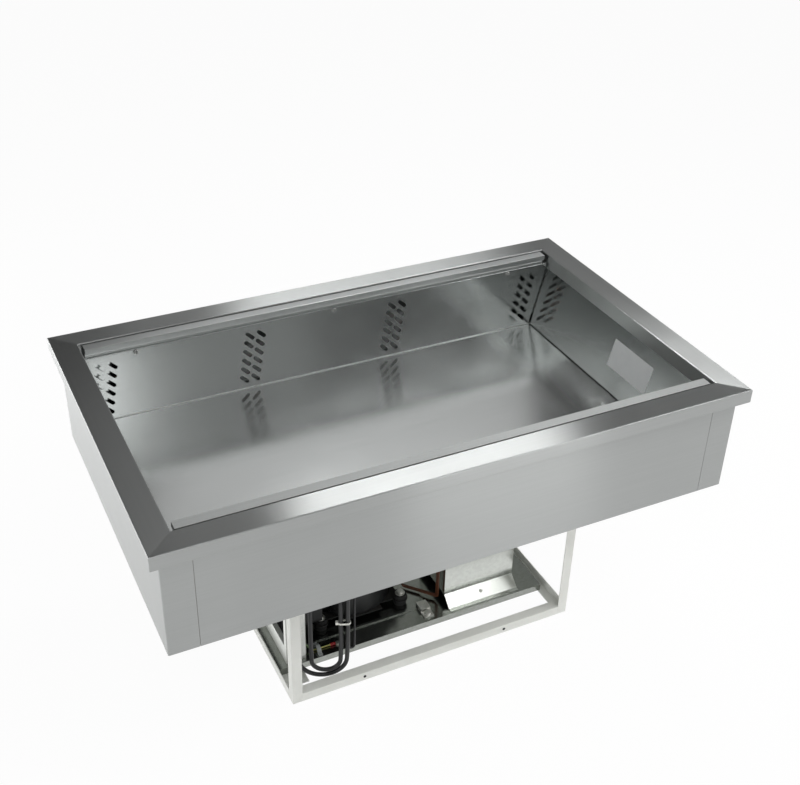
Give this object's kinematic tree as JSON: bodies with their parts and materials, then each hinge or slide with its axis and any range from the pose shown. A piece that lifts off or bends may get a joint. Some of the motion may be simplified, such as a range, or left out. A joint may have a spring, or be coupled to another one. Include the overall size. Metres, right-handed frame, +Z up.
{
  "type": "refrigerated drop-in well",
  "caption": "Stainless drop-in chilled well: deep rectangular basin with slotted air panels and lift-out pan rails, over an open machine frame with compressor, condenser and fan.",
  "frame": {"origin": "on the floor plane under the middle of the rim", "axes": "+X along the length, to the right as the picture's front faces the user; +Y to the back; +Z up"},
  "size_m": [1.125, 0.7, 0.55],
  "materials": {
    "stainless": "satin",
    "galvanised": "satin",
    "zinc_fasteners": "satin",
    "white_paint": "satin",
    "black_paint": "satin",
    "black_plastic": "matte",
    "switch_red": "gloss",
    "rubber": "matte",
    "cord_rubber": "satin",
    "copper": "satin",
    "fin_aluminium": "satin",
    "foam": "matte",
    "plate_blank": "satin",
    "white_nylon": "satin",
    "grey_nylon": "satin",
    "wire_green": "satin",
    "wire_brown": "satin"
  },
  "bodies": {
    "well": {"air_panel_back": "stainless", "air_panel_front": "stainless", "bare_plate": "plate_blank", "base_tray": "galvanised", "casing_back": "stainless", "casing_bottom": "galvanised", "casing_front": "stainless", "casing_left": "stainless", "casing_right": "stainless", "compressor_base_plate": "galvanised", "compressor_bolts": "zinc_fasteners", "compressor_grommets": "rubber", "compressor_shell": "black_paint", "compressor_terminal_cover": "black_plastic", "condenser_coil": "black_paint", "condenser_frame": "galvanised", "control_box": "galvanised", "control_box_lid": "galvanised", "control_wires": "wire_brown", "cord_gland": "black_plastic", "cord_hook": "galvanised", "cord_tie": "white_nylon", "drain_outlet": "stainless", "earth_wire": "wire_green", "evaporator_fins": "fin_aluminium", "evaporator_tubes": "copper", "fan_frame": "black_plastic", "fan_shroud": "galvanised", "floor_plate": "stainless", "frame_leg_back_left": "white_paint", "frame_leg_back_right": "white_paint", "frame_leg_front_left": "white_paint", "frame_leg_front_right": "white_paint", "frame_rail_back": "white_paint", "frame_rail_front": "white_paint", "frame_rail_left": "white_paint", "frame_rail_right": "white_paint", "insulation": "foam", "liner_ends": "stainless", "mains_hank": "cord_rubber", "mains_lead": "cord_rubber", "mains_plug": "cord_rubber", "panel_clips": "stainless", "panel_screws": "stainless", "plate_clamp": "zinc_fasteners", "probe_lead": "cord_rubber", "refrigerant_pipes": "copper", "rim_back": "stainless", "rim_front": "stainless", "rim_left": "stainless", "rim_right": "stainless", "switch_body": "black_plastic", "thermostat_body": "black_plastic", "well_liner": "stainless", "wire_arch": "grey_nylon"},
    "pan_rail_front": {"pan_rail_front": "stainless"},
    "pan_rail_back": {"pan_rail_back": "stainless"},
    "fan": {"fan_rotor": "black_plastic"},
    "knob": {"thermostat_knob": "black_plastic"},
    "rocker": {"switch_rocker": "switch_red"}
  },
  "joints": [
    {"name": "rail_front_lift", "type": "slide", "parent": "well", "child": "pan_rail_front", "axis": [0, 0, 1], "range_m": [0, 0.08]},
    {"name": "rail_back_lift", "type": "slide", "parent": "well", "child": "pan_rail_back", "axis": [0, 0, 1], "range_m": [0, 0.08]},
    {"name": "fan_spin", "type": "hinge", "parent": "well", "child": "fan", "pos_m": [-0.213, 0, 0.155], "axis": [1, 0, 0], "continuous": true},
    {"name": "thermostat_turn", "type": "hinge", "parent": "well", "child": "knob", "pos_m": [0.125, -0.115, 0.152], "axis": [0, 1, 0], "range_deg": [0, 270]},
    {"name": "rocker_tilt", "type": "hinge", "parent": "well", "child": "rocker", "pos_m": [0.203, -0.1125, 0.152], "axis": [1, 0, 0], "range_deg": [0, 14]}
  ]
}
